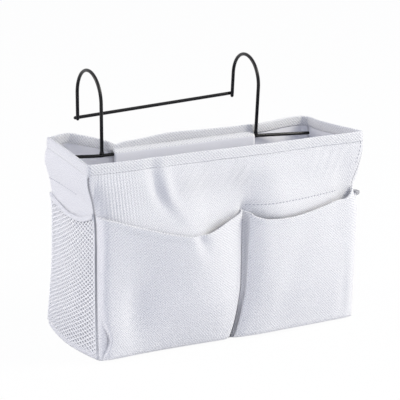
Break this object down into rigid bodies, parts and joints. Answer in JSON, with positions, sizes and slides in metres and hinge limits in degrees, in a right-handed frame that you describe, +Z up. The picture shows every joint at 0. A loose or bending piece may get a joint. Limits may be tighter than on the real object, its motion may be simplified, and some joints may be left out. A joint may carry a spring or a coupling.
{
  "type": "bedside caddy",
  "caption": "Cloth bedside caddy: open bag with pleated front pockets and net side pockets, hung on a bed rail by a swinging black wire hanger.",
  "frame": {"origin": "centre of the base's underside, on the surface that the bag stands on", "axes": "+X to the right along the front, -Y out of the front, +Y towards the bed rail, +Z up"},
  "size_m": [0.3436, 0.184, 0.2847],
  "materials": {
    "cloth": "plain woven polyester canvas, white, matt",
    "net": "knitted net, white, matt",
    "board": "plain sheet, matt",
    "wire": "black powder-coated steel wire, semi-gloss"
  },
  "bodies": {
    "bag": {"front_panel": "cloth", "back_panel": "cloth", "left_panel": "cloth", "right_panel": "cloth", "base_panel": "cloth", "base_board": "board", "front_hem": "cloth", "back_hem": "cloth", "left_hem": "cloth", "right_hem": "cloth", "rod_sleeve": "cloth", "left_front_pocket": "cloth", "right_front_pocket": "cloth", "left_mesh_pocket": "net", "right_mesh_pocket": "net", "left_mesh_binding": "cloth", "right_mesh_binding": "cloth"},
    "hanger": {"lower_rod": "wire", "left_hook": "wire", "right_hook": "wire", "rear_crossbar": "wire"}
  },
  "joints": [
    {"name": "hanger_swing", "type": "hinge", "parent": "bag", "child": "hanger", "pos_m": [-0.0126, 0.0207, 0.1953], "axis": [1, 0, 0], "range_deg": [0, 85]}
  ]
}
